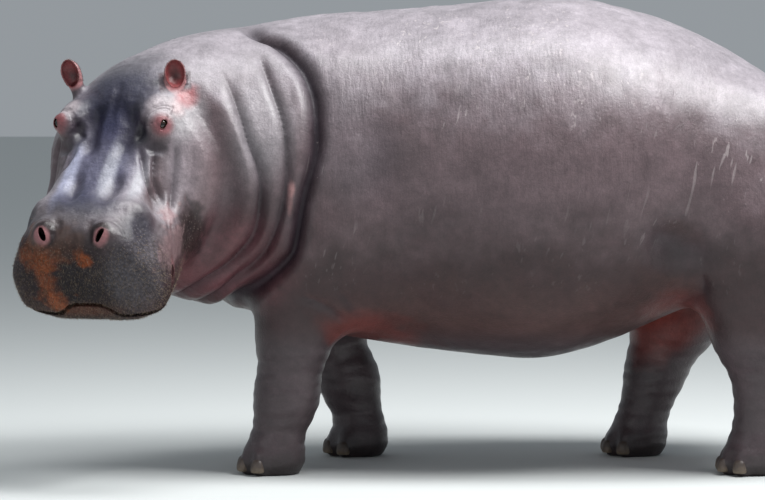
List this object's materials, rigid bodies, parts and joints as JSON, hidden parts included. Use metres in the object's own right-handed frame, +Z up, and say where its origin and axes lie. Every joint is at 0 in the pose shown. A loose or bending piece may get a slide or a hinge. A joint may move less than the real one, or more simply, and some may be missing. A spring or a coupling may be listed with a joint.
{
  "type": "hippopotamus",
  "caption": "Life-size hippopotamus standing mid-stride on four short legs, with a barrel body and the heavy head lowered and turned to its left.",
  "frame": {"origin": "on the ground, under the middle of the animal's box", "axes": "+Z up, +X from the animal's chest towards its tail, +Y to the animal's right"},
  "size_m": [2.7278, 1.4666, 1.5059],
  "materials": {
    "hide": "moist, finely wrinkled skin",
    "pale_hide": "moist pinkish skin",
    "eye": "wet gloss",
    "nail": "worn horn"
  },
  "bodies": {
    "root": {"head": "hide", "lower_jaw": "pale_hide", "neck": "hide", "trunk": "hide", "tail": "hide", "ear_left": "pale_hide", "ear_right": "pale_hide", "eye_left": "eye", "eye_right": "eye", "front_left_leg": "hide", "front_left_foot": "hide", "front_left_nail_1": "nail", "front_left_nail_2": "nail", "front_left_nail_3": "nail", "front_left_nail_4": "nail", "front_right_leg": "hide", "front_right_foot": "hide", "front_right_nail_1": "nail", "front_right_nail_2": "nail", "front_right_nail_3": "nail", "front_right_nail_4": "nail", "hind_left_leg": "hide", "hind_left_foot": "hide", "hind_left_nail_1": "nail", "hind_left_nail_2": "nail", "hind_left_nail_3": "nail", "hind_left_nail_4": "nail", "hind_right_leg": "hide", "hind_right_foot": "hide", "hind_right_nail_1": "nail", "hind_right_nail_2": "nail", "hind_right_nail_3": "nail", "hind_right_nail_4": "nail"}
  },
  "joints": []
}
